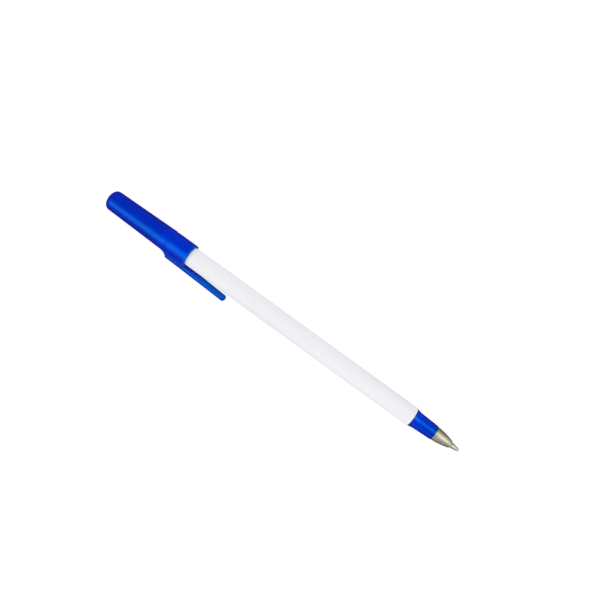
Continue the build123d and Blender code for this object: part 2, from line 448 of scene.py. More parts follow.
@dataclass(frozen=True)
class MouldedPlastic(Finish):
    """A moulded skin with fine grain, hair scratches and rubbed edges."""

    rubbed: Colour
    scuffed: Colour
    roughness: float
    grain_scale: float
    grain_depth: float
    mottle_roughness: float
    scuff_amount: float
    scuff_share: float
    scuff_roughness: float
    scuff_depth: float
    edge_wear: float

    def wear(self, surface: Surface, colour: Source, under: Socket | None = None) -> Socket:
        """Rubs the edges, scratches the skin, and joins its roughness and relief to the shader.

        Args:
            surface: The material's nodes.
            colour: The colour of the new moulding.
            under: The relief that the grain lies on.

        Returns:
            The worn colour.
        """
        grain = surface.grain(self.grain_scale)
        scuffs = surface.effect(surface.effects.scuffs, Amount=self.scuff_amount)["Mask"]
        edges = surface.effect(surface.effects.edges, Amount=self.edge_wear)["Mask"]
        dulled = surface.math("MULTIPLY_ADD", scuffs, self.scuff_roughness, self.roughness)
        skin = surface.bump(grain["Height"], self.grain_depth, under)
        surface.join({
            "Roughness": surface.mottled(grain, self.mottle_roughness, dulled),
            "Normal": surface.bump(surface.inverse(scuffs), self.scuff_depth, skin),
        })
        colour = surface.mix(edges, colour, self.rubbed)
        return surface.mix(surface.math("MULTIPLY", scuffs, self.scuff_share), colour, self.scuffed)


@dataclass(frozen=True)
class BluePlastic(MouldedPlastic):
    """Satin blue moulding. Lighter blue is painted in as light on the cap's collar, its lip, the nose's back
    and the clip's inner face and root; dark navy is painted in as shade at its seams.

    Places along the pen, widths and distances from the axis are in millimetres.
    """

    name: str = "blue moulded plastic"
    rubbed: Colour = screen_colour(20, 90, 225)
    scuffed: Colour = screen_colour(20, 90, 225)
    roughness: float = 0.3
    grain_scale: float = 4.0
    grain_depth: float = 0.004 * MM
    mottle_roughness: float = 0.05
    scuff_amount: float = 0.5
    scuff_share: float = 0.35
    scuff_roughness: float = 0.2
    scuff_depth: float = 0.004 * MM
    edge_wear: float = 0.06
    deep: Colour = screen_colour(0, 29, 234)
    # painted light: lighter blue on the cap's collar and the nose's back
    painted_glow: Colour = screen_colour(0, 36, 255)
    glow_from_tail: Pair = (-1.0, 0.4)
    glow_past_front: Pair = (2.5, 8.0)
    wall_limits: Pair = (5.0, 5.3)
    # painted light: lighter, greener blue round the cap's lip
    lip: Colour = screen_colour(0, 96, 225)
    lip_width: float = 1.5
    lip_share: float = 0.75
    # painted light: lighter blue on the clip's inner face and its root's blended sides
    thin: Colour = screen_colour(0, 88, 200)
    streak: Colour = screen_colour(0, 16, 160)
    streak_stretch: Triple = (0.05, 0.7, 0.7)
    streak_limits: Pair = (0.45, 0.8)
    streak_share: float = 0.3
    # painted shade: dark navy in the seams at the barrel's front and the cone's base
    seam_shade: Colour = screen_colour(0, 16, 96)
    seam_width: float = 0.55
    seam_share: float = 0.85
    refraction: float = 1.65
    gloss_tint: Colour = (0.0, 0.32, 1.0, 1.0)
    specular: float = 0.95
    rim_specular: float = 0.12
    gloss_fade: Pair = (0.25, 0.7)
    skin_tint: Colour = (1.0, 0.95, 0.75, 1.0)
    skin_ior: float = 1.0
    skin_fade: Pair = (0.45, 0.85)
    rim_skin: float = 0.45

    def paint(self, surface: Surface) -> None:
        """Joins the nodes to the shader.

        Args:
            surface: The material's nodes.
        """
        along = surface.coordinate(surface.place, Axis.ALONG)
        thin = surface.node("ShaderNodeAttribute", attribute_name=PAINTED_LIGHT).outputs["Fac"]
        colour = self.wear(surface, self.moulded(surface, along, thin))
        # painted shade in the seams at the barrel's front and the cone's base
        for seam in (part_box("barrel")[1].x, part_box("point_cone")[0].x):
            away = surface.away(along, seam / MM)
            seam_shaded = surface.ramp(away, 0.0, self.seam_width, self.seam_share, 0.0)
            colour = surface.mix(seam_shaded, colour, self.seam_shade)
        surface.join({"Base Color": colour})
        self.polish(surface, thin)

    def moulded(self, surface: Surface, along: Socket, thin: Socket) -> Socket:
        """Works out the colour of the new moulding.

        Args:
            surface: The material's nodes.
            along: The place along the pen.
            thin: How much painted light lightens the clip's faces.

        Returns:
            The colour.
        """
        tail, front = (corner.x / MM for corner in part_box("barrel"))
        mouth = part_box("cap")[1].x / MM
        # painted light: lighter blue from the barrel's tail to the nose's back, kept off the clip
        past_tail = surface.ramp(along, *[tail + step for step in self.glow_from_tail])
        before_front = surface.ramp(along, *[front + step for step in self.glow_past_front], 1.0, 0.0)
        in_wall = surface.ramp(surface.from_axis(surface.place), *self.wall_limits, 1.0, 0.0)
        glow_span = surface.math("MULTIPLY", past_tail, before_front)
        colour = surface.mix(surface.math("MULTIPLY", glow_span, in_wall), self.deep, self.painted_glow)
        # painted light round the cap's lip
        at_lip = surface.ramp(surface.away(along, mouth), 0.0, self.lip_width, self.lip_share, 0.0)
        colour = surface.mix(surface.math("MULTIPLY", at_lip, in_wall), colour, self.lip)
        # painted light on the clip's inner face and root
        colour = surface.mix(thin, colour, self.thin)
        flow = surface.noise(surface.stretched(surface.place, self.streak_stretch))
        streaks = surface.ramp(flow, *self.streak_limits, 0.0, self.streak_share)
        return surface.mix(streaks, colour, self.streak)

    def polish(self, surface: Surface, thin: Socket) -> None:
        """Joins the gloss, which fades towards the rims, and a clear skin that holds back some blue.

        Args:
            surface: The material's nodes.
            thin: How much painted light lightens the clip's faces; no skin lies there.
        """
        facing = surface.node("ShaderNodeLayerWeight").outputs["Facing"]
        skin = surface.ramp(facing, *self.skin_fade, 1.0, self.rim_skin)
        surface.join({
            "IOR": self.refraction,
            "Specular Tint": self.gloss_tint,
            "Specular IOR Level": surface.ramp(facing, *self.gloss_fade, self.specular, self.rim_specular),
            "Coat Weight": surface.math("MULTIPLY", surface.inverse(thin), skin),
            "Coat Roughness": self.roughness,
            "Coat IOR": self.skin_ior,
            "Coat Tint": self.skin_tint,
        })


@dataclass(frozen=True)
class WhitePlastic(MouldedPlastic):
    """Milky white tube with faint draw lines along it and a few grey scuffs."""

    name: str = "white barrel plastic"
    rubbed: Colour = screen_colour(250, 250, 252)
    scuffed: Colour = screen_colour(176, 174, 182)
    roughness: float = 0.5
    grain_scale: float = 3.0
    grain_depth: float = 0.002 * MM
    mottle_roughness: float = 0.1
    scuff_amount: float = 0.7
    scuff_share: float = 0.4
    scuff_roughness: float = 0.15
    scuff_depth: float = 0.004 * MM
    edge_wear: float = 0.5
    body: Colour = screen_colour(252, 252, 255)
    drawn: Colour = screen_colour(247, 247, 252)
    line_stretch: Triple = (0.02, 1.6, 1.6)
    line_limits: Pair = (0.4, 0.7)
    line_depth: float = 0.003 * MM
    specular: float = 0.2

    def paint(self, surface: Surface) -> None:
        """Joins the nodes to the shader.

        Args:
            surface: The material's nodes.
        """
        lines = surface.noise(surface.stretched(surface.place, self.line_stretch))
        colour = surface.mix(surface.ramp(lines, *self.line_limits), self.body, self.drawn)
        colour = self.wear(surface, colour, surface.bump(lines, self.line_depth))
        surface.join({"Base Color": colour, "Specular IOR Level": self.specular})


@dataclass(frozen=True)
class ConeBrass(Finish):
    """Brass turned on a lathe, with fine rings and patches of tarnish."""

    name: str = "cone brass"
    bright: Colour = screen_colour(215, 206, 186)
    tarnish: Colour = screen_colour(180, 164, 138)
    tarnish_amount: float = 0.6
    tarnish_scale: float = 0.55
    tarnish_limits: Pair = (0.48, 0.75)
    tarnish_roughness: float = 0.2
    ring_scale: float = 9.0
    ring_depth: float = 0.003 * MM
    band_limits: Pair = (0.3, 0.7)
    band_share: float = 0.6
    edge_wear: float = 1.0
    roughness: float = 0.56
    grain_scale: float = 7.0
    mottle_roughness: float = 0.08

    def paint(self, surface: Surface) -> None:
        """Joins the nodes to the shader.

        Args:
            surface: The material's nodes.
        """
        rings = surface.effect(surface.effects.lathe, Scale=self.ring_scale)
        edges = surface.effect(surface.effects.edges, Amount=self.edge_wear)["Mask"]
        cloud = surface.noise(surface.place, self.tarnish_scale, Detail.RICH)
        patches = surface.ramp(cloud, *self.tarnish_limits, 0.0, self.tarnish_amount)
        bands = surface.ramp(rings["Tone"], *self.band_limits, self.band_share)
        kept = surface.math("MULTIPLY", surface.math("MULTIPLY", patches, bands), surface.inverse(edges))
        dulled = surface.math("MULTIPLY_ADD", kept, self.tarnish_roughness, self.roughness)
        surface.join({
            "Base Color": surface.mix(kept, self.bright, self.tarnish),
            "Metallic": 1.0,
            "Roughness": surface.mottled(surface.grain(self.grain_scale), self.mottle_roughness, dulled),
            "Normal": surface.bump(rings["Height"], self.ring_depth),
        })


@dataclass(frozen=True)
class NibMetal(ConeBrass):
    """Paler metal turned the same way, with closer rings and less tarnish."""

    name: str = "nib metal"
    bright: Colour = screen_colour(219, 216, 209)
    tarnish: Colour = screen_colour(177, 170, 157)
    tarnish_amount: float = 0.35
    ring_scale: float = 14.0


@dataclass(frozen=True)
class BallMetal(Finish):
    """Lapped hard metal with a film of ink that the ball carries round."""

    name: str = "writing ball metal"
    lapped: Colour = screen_colour(196, 198, 204)
    inked: Colour = screen_colour(40, 52, 128)
    film_scale: float = 2.2
    film_limits: Pair = (0.5, 0.7)
    film_shares: Pair = (0.05, 0.8)
    roughness: float = 0.16
    grain_scale: float = 24.0
    grain_depth: float = 0.0006 * MM
    mottle_roughness: float = 0.1

    def paint(self, surface: Surface) -> None:
        """Joins the nodes to the shader.

        Args:
            surface: The material's nodes.
        """
        grain = surface.grain(self.grain_scale)
        cloud = surface.noise(surface.place, self.film_scale)
        film = surface.ramp(cloud, *self.film_limits, *self.film_shares)
        surface.join({
            "Base Color": surface.mix(film, self.lapped, self.inked),
            "Metallic": surface.inverse(film),
            "Roughness": surface.mottled(grain, self.mottle_roughness, self.roughness),
            "Normal": surface.bump(grain["Height"], self.grain_depth),
        })


@dataclass(frozen=True)
class ClearPlastic(Finish):
    """Cloudy clear tube that shows the ink inside."""

    name: str = "clear tube plastic"
    clear: Colour = screen_colour(232, 236, 240)
    cloudy: Colour = screen_colour(206, 214, 226)
    line_stretch: Triple = (0.03, 2.0, 2.0)
    line_limits: Pair = (0.35, 0.7)
    line_depth: float = 0.004 * MM
    roughness: float = 0.15
    grain_scale: float = 3.0
    mottle_roughness: float = 0.15
    transmission: float = 0.8
    refraction: float = 1.5

    def paint(self, surface: Surface) -> None:
        """Joins the nodes to the shader.

        Args:
            surface: The material's nodes.
        """
        lines = surface.noise(surface.stretched(surface.place, self.line_stretch))
        grain = surface.grain(self.grain_scale)
        surface.join({
            "Base Color": surface.mix(surface.ramp(lines, *self.line_limits), self.clear, self.cloudy),
            "Roughness": surface.mottled(grain, self.mottle_roughness, self.roughness),
            "Normal": surface.bump(lines, self.line_depth),
            "Transmission Weight": self.transmission,
            "IOR": self.refraction,
        })


@dataclass(frozen=True)
class PasteInk(Finish):
    """Thick dark blue ink with slow swirls."""

    name: str = "blue paste ink"
    dark: Colour = screen_colour(8, 14, 96)
    thin: Colour = screen_colour(20, 34, 150)
    swirl_scale: float = 0.8
    swirl_limits: Pair = (0.4, 0.7)
    swirl_depth: float = 0.01 * MM
    roughness: float = 0.08
    grain_scale: float = 5.0
    mottle_roughness: float = 0.1

    def paint(self, surface: Surface) -> None:
        """Joins the nodes to the shader.

        Args:
            surface: The material's nodes.
        """
        swirl = surface.noise(surface.place, self.swirl_scale, Detail.RICH)
        grain = surface.grain(self.grain_scale)
        surface.join({
            "Base Color": surface.mix(surface.ramp(swirl, *self.swirl_limits), self.dark, self.thin),
            "Roughness": surface.mottled(grain, self.mottle_roughness, self.roughness),
            "Normal": surface.bump(swirl, self.swirl_depth),
        })


@dataclass(frozen=True)
class PaleFloor(Finish):
    """White sheet that the camera sees overexposed, that fills the shadows and hardly shows in the gloss.

    The fill is weaker beside the pen. Its limits are distances from the axis in millimetres.
    """

    name: str = "white studio sheet"
    sheet: Colour = (0.11, 0.11, 0.11, 1.0)
    mirrored: Colour = (0.012, 0.034, 0.04, 1.0)
    roughness: float = 0.9
    specular: float = 0.0
    glow_colour: Colour = (1.0, 1.0, 1.0, 1.0)
    seen_glow: float = 0.93
    fill_glow: float = 1.0
    shaded_glow: float = 0.7
    shade_limits: Pair = (6.0, 45.0)

    def paint(self, surface: Surface) -> None:
        """Joins the nodes to the shader.

        Args:
            surface: The material's nodes.
        """
        rays = surface.node("ShaderNodeLightPath").outputs
        aside = surface.math("ABSOLUTE", surface.coordinate(surface.place, Axis.ASIDE))
        open_glow = surface.ramp(aside, *self.shade_limits, self.shaded_glow, self.fill_glow)
        fill = surface.math("MULTIPLY", rays["Is Diffuse Ray"], open_glow)
        surface.join({
            "Base Color": surface.mix(rays["Is Glossy Ray"], self.sheet, self.mirrored),
            "Roughness": self.roughness,
            "Specular IOR Level": self.specular,
            "Emission Color": self.glow_colour,
            "Emission Strength": surface.math("MULTIPLY_ADD", rays["Is Camera Ray"], self.seen_glow, fill),
        })


@dataclass(frozen=True)
class Corner:
    """A corner of a turned outline.

    Attributes:
        x: Its place along the pen.
        radius: Its distance from the axis.
        rounding: How much of each side the rounding takes.
        steps: How many flats the rounding has.
    """

    x: float
    radius: float
    rounding: float = 0.0
    steps: int = 5


def curve_point(share: float, start: Pair, turn: Pair, end: Pair) -> Pair:
    """Gives a point of a curve that leaves one spot towards a second and comes in to a third.

    Args:
        share: How far along the curve, from 0 to 1.
        start: Where the curve starts.
        turn: What it bends towards.
        end: Where it ends.

    Returns:
        The point.
    """
    weights = ((1 - share) ** 2, 2 * share * (1 - share), share ** 2)
    first, second = (sum(w * p for w, p in zip(weights, values)) for values in zip(start, turn, end))
    return first, second


def bend(start: Corner, turn: Corner, end: Corner, steps: int) -> list[Corner]:
    """Draws a curve that leaves one corner towards a second and comes in to a third.

    Args:
        start: Where the curve starts; not in the result.
        turn: What it bends towards.
        end: Where it ends.
        steps: How many flats it has.

    Returns:
        The points after the start, in order.
    """
    spots = [(corner.x, corner.radius) for corner in (start, turn, end)]
    return [Corner(*curve_point(step / steps, *spots)) for step in range(1, steps + 1)]


@dataclass
class TurnedPiece(ABC):
    """A piece whose outline is spun round the pen's axis."""

    finish: bpy.types.Material
    name: str = "piece"
    node: str = "node"
    body: Body = Body.PEN
    slot: Slot = Slot.BLUE_PLASTIC
    closed: bool = True

    @abstractmethod
    def outline(self) -> list[Corner]:
        """Gives the corners of the outline, in order."""

    def sides(self, points: list[Item]) -> list[tuple[Item, Item]]:
        """Pairs each point of the outline with the one after it."""
        after = points[1:] + points[:1] if self.closed else points[1:]
        return list(zip(points, after))

    def held_outline(self) -> list[Corner]:
        """Adds a point on each side of every rounded corner, to keep the long sides shading true.

        Returns:
            The corners and the added points, in order.
        """
        corners = self.outline()
        held: list[Corner] = []
        for corner, after in self.sides(corners):
            held.append(corner)
            length = math.dist((corner.x, corner.radius), (after.x, after.radius))
            if length < corner.rounding + after.rounding + LEAST_SIDE:
                continue
            for distance in (corner.rounding + HOLD, length - after.rounding - HOLD):
                share = distance / length
                radius = between(corner.radius, after.radius, share)
                held.append(Corner(between(corner.x, after.x, share), radius))
        if not self.closed:
            held.append(corners[-1])
        return held

    def spun(self) -> bmesh.types.BMesh:
        """Draws the outline, rounds its corners and spins it.

        Returns:
            The closed mesh, with its normals outwards.
        """
        corners = self.held_outline()
        shape = bmesh.new()
        points = [shape.verts.new((corner.x, 0.0, corner.radius)) for corner in corners]
        for ends in self.sides(points):
            shape.edges.new(ends)
        for corner, point in zip(corners, points):
            if corner.rounding:
                bmesh.ops.bevel(shape, geom=[point], offset=corner.rounding, offset_type="OFFSET",
                                segments=corner.steps, profile=0.5, affect="VERTICES", material=-1)
        bmesh.ops.spin(shape, geom=shape.verts[:] + shape.edges[:], cent=(0, 0, 0), axis=(1, 0, 0),
                       angle=math.tau, steps=FACETS, use_merge=True)
        bmesh.ops.remove_doubles(shape, verts=shape.verts, dist=MERGE)
        bmesh.ops.recalc_face_normals(shape, faces=shape.faces)
        return shape

    def dressed(self, shape: bmesh.types.BMesh) -> bpy.types.Object:
        """Turns a mesh in work into the piece, smooth but for its sharp edges.

        Args:
            shape: The mesh, which is used up.

        Returns:
            The piece's object, with its finish.
        """
        for face in shape.faces:
            face.smooth = True
        for edge in shape.edges:
            edge.smooth = edge.calc_face_angle(0.0) < SHARP
        piece = add_mesh(self.name, shape, self.finish)
        log.info("%s: %d faces", piece.name, len(piece.data.polygons))
        return piece

    def build(self) -> None:
        """Builds the piece and sets it on its body."""
        piece = self.dressed(self.spun())
        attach(piece, self.body.value)
        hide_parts(self.node)


@dataclass
class Barrel(TurnedPiece):
    """White tube: straight grip in front, slightly drawn in towards the tail."""

    name: str = "barrel_tube"
    node: str = "barrel"
    slot: Slot = Slot.WHITE_PLASTIC
    bore_radius: float = 2.6 * MM
    grip_length: float = 84.0 * MM
    tail_draft: float = 0.1 * MM
    draft_blend: float = 3.0 * MM
    rim: float = 0.25 * MM
    bore_rim: float = 0.15 * MM

    def outline(self) -> list[Corner]:
        """Draws the tube's wall.

        Returns:
            The corners of the outline, in order.
        """
        low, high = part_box(self.node)
        return [
            Corner(low.x, self.bore_radius, self.bore_rim),
            Corner(low.x, high.z - self.tail_draft, self.rim),
            Corner(high.x - self.grip_length, high.z, self.draft_blend),
            Corner(high.x, high.z, self.rim),
            Corner(high.x, self.bore_radius, self.bore_rim),
        ]


@dataclass
class EndPlug(TurnedPiece):
    """Blue plug in the barrel's tail, dished round its breather hole."""

    name: str = "tail_plug"
    node: str = "end_plug"
    breather_radius: float = 0.6 * MM
    spigot_radius: float = 2.58 * MM
    dish_radius: float = 2.2 * MM
    dish_depth: float = 0.22 * MM
    rim: float = 0.3 * MM
    soft_edge: float = 0.12 * MM

    def outline(self) -> list[Corner]:
        """Draws the dish, the head and the spigot.

        Returns:
            The corners of the outline, in order.
        """
        low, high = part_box(self.node)
        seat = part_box("barrel")[0].x
        dish = low.x + self.dish_depth
        return [
            Corner(dish, self.breather_radius, self.soft_edge),
            Corner(dish, self.dish_radius - self.rim, self.rim / 2),
            Corner(low.x, self.dish_radius, self.rim / 2),
            Corner(low.x, high.z, self.rim),
            Corner(seat, high.z, self.soft_edge),
            Corner(seat, self.spigot_radius),
            Corner(high.x, self.spigot_radius, self.rim),
            Corner(high.x, self.breather_radius, self.soft_edge),
        ]


@dataclass
class NosePlug(TurnedPiece):
    """Blue nose: a flange on the barrel's end, a hollow flare and a tapered shank."""

    name: str = "nose_moulding"
    node: str = "nose_plug"
    flange_rim: float = 0.25 * MM
    flare_length: float = 3.0 * MM
    flare_turn_share: float = 0.45
    flare_steps: int = 10
    shank_radius: float = 3.38 * MM
    front_radius: float = 3.04 * MM
    front_edge: float = 0.2 * MM
    seat_radius: float = 1.98 * MM
    socket_radius: float = 0.92 * MM
    spigot_length: float = 9.0 * MM
    spigot_radius: float = 2.58 * MM
    nipple_radius: float = 0.98 * MM
    nipple_bore: float = 0.6 * MM
    soft_edge: float = 0.1 * MM

    def outline(self) -> list[Corner]:
        """Draws the nose from its flange to the front, then its bore, nipple and spigot.

        Returns:
            The corners of the outline, in order.
        """
        low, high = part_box(self.node)
        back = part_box("barrel")[1].x
        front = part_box("point_cone")[0].x
        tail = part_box("point")[0].x
        flange = high.z
        flare_end = back + self.flare_length
        start = Corner(back + self.flange_rim, flange)
        turn_x = between(start.x, flare_end, self.flare_turn_share)
        taper = (self.shank_radius - self.front_radius) / (front - flare_end)
        turn = Corner(turn_x, self.shank_radius + taper * (flare_end - turn_x))
        return [
            Corner(back, self.spigot_radius),
            Corner(back, flange, self.soft_edge),
            start,
            *bend(start, turn, Corner(flare_end, self.shank_radius), self.flare_steps),
            Corner(front, self.front_radius, self.front_edge),
            Corner(front, self.seat_radius),
            Corner(high.x, self.seat_radius, self.soft_edge),
            Corner(high.x, self.socket_radius),
            Corner(tail, self.socket_radius),
            Corner(tail, self.nipple_bore),
            Corner(low.x, self.nipple_bore, self.soft_edge),
            Corner(low.x, self.nipple_radius, self.soft_edge),
            Corner(back - self.spigot_length, self.nipple_radius),
            Corner(back - self.spigot_length, self.spigot_radius, self.front_edge),
        ]


@dataclass
class MetalCone(TurnedPiece):
    """Brass-coloured cone with a full belly and a rolled front lip."""

    name: str = "metal_cone"
    node: str = "point_cone"
    slot: Slot = Slot.CONE_BRASS
    front_radius: float = 1.525 * MM
    bulge: float = 0.28 * MM
    belly_steps: int = 14
    base_edge: float = 0.12 * MM
    lip: float = 0.14 * MM
    nib_hole: float = 1.27 * MM
    seat_radius: float = 2.0 * MM
    seat_length: float = 2.2 * MM

    def outline(self) -> list[Corner]:
        """Draws the belly from base to lip, then the nib's hole and the seat.

        Returns:
            The corners of the outline, in order.
        """
        low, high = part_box(self.node)
        base = Corner(low.x, high.z, self.base_edge)
        lip = Corner(high.x, self.front_radius, self.lip)
        belly = Corner((low.x + high.x) / 2, (high.z + self.front_radius) / 2 + 2 * self.bulge)
        return [
            Corner(low.x, self.seat_radius),
            base,
            *bend(base, belly, lip, self.belly_steps)[:-1],
            lip,
            Corner(high.x, self.nib_hole),
            Corner(low.x + self.seat_length, self.seat_radius),
        ]


@dataclass
class Nib(TurnedPiece):
    """Turned point: tail and collar inside, a groove at the cone, and a taper to the ball's lip."""

    name: str = "nib"
    node: str = "point"
    slot: Slot = Slot.NIB_METAL
    channel_radius: float = 0.3 * MM
    tail_radius: float = 0.9 * MM
    collar_radius: float = 1.6 * MM
    collar_length: float = 0.8 * MM
    base_radius: float = 1.25 * MM
    groove_radius: float = 1.1 * MM
    groove_start: float = 0.05 * MM
    groove_length: float = 0.4 * MM
    shoulder: float = 0.12 * MM
    lip_radius: float = 0.62 * MM
    ball_room: float = 0.015 * MM
    seat_steps: int = 8
    crimp_length: float = 0.45 * MM
    crimp_step: float = 0.03 * MM
    crimp_edge: float = 0.02 * MM
    soft_edge: float = 0.06 * MM

    def outline(self) -> list[Corner]:
        """Draws the nib from its tail to the lip, then the ball's round seat.

        Returns:
            The corners of the outline, in order.
        """
        low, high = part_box(self.node)
        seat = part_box("nose_plug")[1].x
        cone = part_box("point_cone")[1].x
        ball_low, ball_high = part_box("writing_ball")
        ball = (ball_low.x + ball_high.x) / 2
        seat_radius = (ball_high.x - ball_low.x) / 2 + self.ball_room
        front = math.acos((high.x - ball) / seat_radius)
        rear = math.pi - math.asin(self.channel_radius / seat_radius)
        angles = [between(front, rear, step / self.seat_steps) for step in range(self.seat_steps + 1)]
        groove = cone + self.groove_start
        shoulder = groove + self.groove_length
        taper = (self.base_radius - self.lip_radius) / (high.x - cone)
        crimp = high.x - self.crimp_length
        crimp_radius = self.lip_radius + taper * self.crimp_length
        return [
            Corner(low.x, self.channel_radius),
            Corner(low.x, self.tail_radius, self.soft_edge),
            Corner(seat, self.tail_radius),
            Corner(seat, self.collar_radius, self.soft_edge),
            Corner(seat + self.collar_length, self.collar_radius, self.soft_edge),
            Corner(seat + self.collar_length, self.base_radius),
            Corner(groove, self.base_radius),
            Corner(groove + self.shoulder / 2, self.groove_radius),
            Corner(shoulder, self.groove_radius),
            Corner(shoulder + self.shoulder, self.base_radius - taper * (shoulder - cone), self.soft_edge),
            Corner(crimp, crimp_radius, self.soft_edge),
            Corner(crimp + self.crimp_step, crimp_radius - self.crimp_step, self.crimp_edge),
            Corner(high.x, self.lip_radius, self.soft_edge),
            *[Corner(ball + seat_radius * math.cos(a), seat_radius * math.sin(a)) for a in angles],
        ]


@dataclass
class WritingBall(TurnedPiece):
    """The ball in the nib's end."""

    name: str = "ball"
    node: str = "writing_ball"
    body: Body = Body.BALL
    slot: Slot = Slot.BALL_METAL
    closed: bool = False
    steps: int = 32

    def outline(self) -> list[Corner]:
        """Draws a half circle.

        Returns:
            Its points, from pole to pole.
        """
        low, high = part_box(self.node)
        radius = (high.x - low.x) / 2
        angles = [math.pi * step / self.steps for step in range(self.steps + 1)]
        return [Corner(low.x + radius - radius * math.cos(a), radius * math.sin(a)) for a in angles]


@dataclass
class ClipArm:
    """The clip's free arm: a rounded bar that leans away from the barrel and is rounded off at its tip.

    Its section is two rows of points, numbered from one side of the arm to the other. The outer row goes
    up the sides and over the outer face, the inner row round the inner corners and along the inner face.
    An inner corner starts at the outer row's foot, one point before the inner row does.

    Attributes:
        mouth: Where the arm leaves the cap, along the pen.
        tip: Where it ends.
    """

    mouth: float
    tip: float
    columns: int = 10
    side_flats: int = 4
    corner_flats: int = 3
    inner_corner_start: int = -1
    width: float = 3.6 * MM
    tip_width: float = 3.2 * MM
    inner: float = 4.885 * MM
    tip_inner: float = 5.9 * MM
    outer: float = 7.12 * MM
    tip_outer: float = 7.655 * MM
    edge: float = 0.42 * MM
    crown: float = 1.1 * MM
    edge_width_share: float = 0.9
    edge_depth_share: float = 0.45
    crown_depth_share: float = 0.5
    tip_corner: float = 1.2 * MM
    tip_round: float = 0.75 * MM
    straight_stations: int = 16
    tip_stations: int = 7
    painted_light_length: float = 9.0 * MM

    def stations(self) -> list[float]:
        """Chooses the places along the arm where its section is set.

        Returns:
            The places in order, closer together round the tip.
        """
        start = self.mouth + self.edge
        bend_start = self.tip - self.tip_corner
        count = self.straight_stations
        angles = [math.pi / 2 * step / self.tip_stations for step in range(self.tip_stations + 1)]
        straight = [between(start, bend_start, step / count) for step in range(count)]
        return straight + [bend_start + self.tip_corner * math.sin(angle) for angle in angles]

    def drawn_in(self, x: float, radius: float) -> float:
        """Gives how far a rounding of the tip has drawn its outline in at a place along the pen."""
        past = min(max(x - (self.tip - radius), 0.0), radius)
        return radius - math.sqrt(radius ** 2 - past ** 2)

    def section(self, x: float, row: Row, index: int) -> Pair:
        """Places a point of the rounded section.

        Args:
            x: The place along the pen.
            row: The row that the point is in.
            index: Its number in the row.

        Returns:
            The point's place across the clip and its height over the axis.
        """
        share = (x - self.mouth) / (self.tip - self.mouth)
        half = between(self.width, self.tip_width, share) / 2 - self.drawn_in(x, self.tip_corner)
        inner = between(self.inner, self.tip_inner, share) + self.drawn_in(x, self.tip_round)
        outer = between(self.outer, self.tip_outer, share) - self.drawn_in(x, self.tip_round)
        depth = outer - inner
        widest = self.edge_width_share * half
        edge = min(self.edge, widest, self.edge_depth_share * depth)
        crown = min(between(self.crown, self.edge, share), widest, self.crown_depth_share * depth)
        step = self.columns - abs(index - self.columns)
        if row is Row.OUTER:
            across, height = self.outer_row(step, half, inner + edge, outer, crown)
        else:
            across, lift = self.rounded(step, self.inner_corner_start, half, edge)
            height = inner + lift
        return (-across if index < self.columns else across), height

    def outer_row(self, step: int, half: float, foot: float, outer: float, edge: float) -> Pair:
        """Places a point on the side, outer corner or outer face.

        Args:
            step: Number of the point from the side inwards.
            half: Half the arm's width.
            foot: Height where the side starts.
            outer: Height of the outer face.
            edge: Radius of the corner.

        Returns:
            The distance from the arm's middle and the height.
        """
        if step <= self.side_flats:
            return half, between(foot, outer - edge, step / self.side_flats)
        across, drop = self.rounded(step, self.side_flats, half, edge)
        return across, outer - drop

    def rounded(self, step: int, start: int, half: float, edge: float) -> Pair:
        """Places a point on a corner or on the face past it.

        Args:
            step: Number of the point from the side inwards.
            start: Number of the point where the corner starts.
            half: Half the arm's width.
            edge: Radius of the corner.

        Returns:
            The distance from the arm's middle, and how far the point lies behind the face.
        """
        end = start + self.corner_flats
        if step > end:
            return (half - edge) * (self.columns - step) / (self.columns - end), 0.0
        angle = math.pi / 2 * (step - start) / self.corner_flats
        return half - edge * (1 - math.cos(angle)), edge * (1 - math.sin(angle))

    def draw(self, shape: bmesh.types.BMesh, front: list[bmesh.types.BMFace]) -> None:
        """Draws the root's front out into the arm, station by station.

        Args:
            shape: The cap's shell with its raised root.
            front: The strip of wall at the root's front, with its points numbered.
        """
        row = shape.verts.layers.int[ROW]
        number = shape.verts.layers.int[NUMBER]
        thin = shape.verts.layers.float[PAINTED_LIGHT]
        for x in self.stations():
            drawn = bmesh.ops.extrude_face_region(shape, geom=front)["geom"]
            bmesh.ops.delete(shape, geom=front, context="FACES_ONLY")
            front = [part for part in drawn if isinstance(part, bmesh.types.BMFace)]
            for point in {point for face in front for point in face.verts}:
                point.co = (x, *self.section(x, Row(point[row]), point[number]))
                inside = Row(point[row]) is Row.INNER
                # painted light on the arm's inner face, growing from the mouth
                point[thin] = min((x - self.mouth) / self.painted_light_length, 1.0) if inside else 0.0


